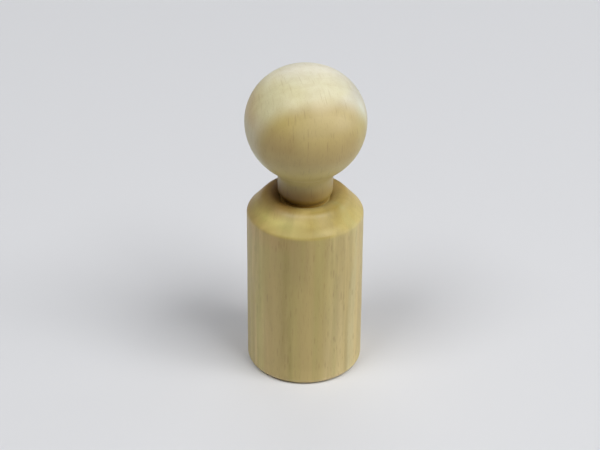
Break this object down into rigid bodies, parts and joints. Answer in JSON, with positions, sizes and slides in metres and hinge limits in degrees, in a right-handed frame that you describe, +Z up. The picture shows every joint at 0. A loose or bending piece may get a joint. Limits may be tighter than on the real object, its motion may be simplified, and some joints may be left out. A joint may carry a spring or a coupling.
{
  "type": "peg doll",
  "caption": "Plain turned wooden peg doll: a ball head on a short neck that swivels on a hidden dowel in a cylindrical body with a sloping shoulder.",
  "frame": {"origin": "centre of the flat base, on the surface that the doll stands on", "axes": "+Z up along the turning axis, from the base to the top of the head; -Y towards the viewer of the picture, +X to the viewer's right"},
  "size_m": [0.0226, 0.0226, 0.062],
  "materials": {
    "body_beech": "sanded satin, unpainted",
    "head_beech": "sanded satin, unpainted",
    "dowel_beech": "plain turned rod"
  },
  "bodies": {
    "body": {"body": "body_beech"},
    "head": {"head": "head_beech", "neck_peg": "dowel_beech"}
  },
  "joints": [
    {"name": "head_swivel", "type": "hinge", "parent": "body", "child": "head", "pos_m": [0, 0, 0.0356], "axis": [0, 0, 1], "continuous": true}
  ]
}
